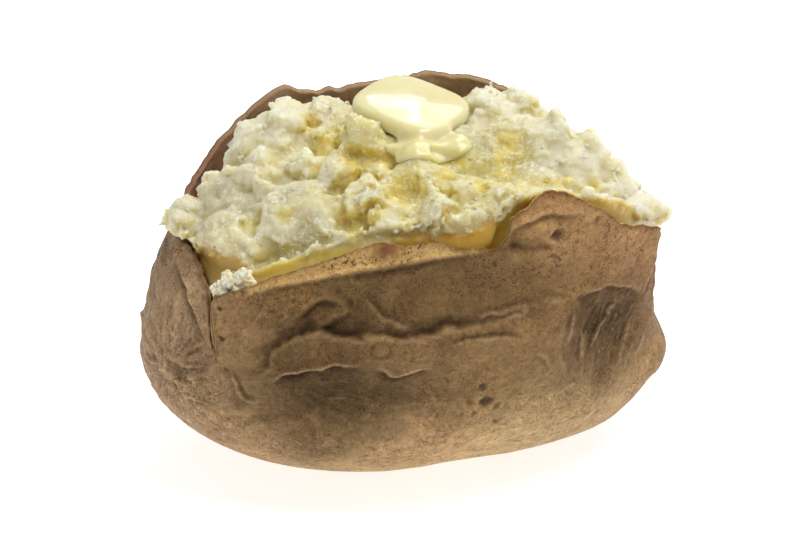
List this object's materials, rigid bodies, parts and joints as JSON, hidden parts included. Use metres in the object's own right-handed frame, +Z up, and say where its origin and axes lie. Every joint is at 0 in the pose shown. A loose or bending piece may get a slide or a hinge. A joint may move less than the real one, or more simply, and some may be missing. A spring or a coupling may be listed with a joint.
{
  "type": "baked potato",
  "caption": "Whole russet potato, baked and slit along its length, with fluffy flesh heaped above its wrinkled skin and a melting pat of butter on top.",
  "frame": {"origin": "middle of the small flat spot the potato rests on", "axes": "+X along the potato's length, away from the closed nose; +Y towards the higher back of the skin; +Z up"},
  "size_m": [0.1213, 0.0794, 0.0815],
  "materials": {
    "skin": "dry, wrinkled, baked potato skin, brown above and tan below, satin to matte",
    "flesh": "moist, mealy, translucent potato flesh, pale cream on the lumps and yellow in the pits",
    "butter": "wet, glossy, half-melted butter"
  },
  "bodies": {
    "root": {"skin": "skin", "flesh": "flesh", "butter": "butter", "flap_crumb": "flesh"}
  },
  "joints": []
}
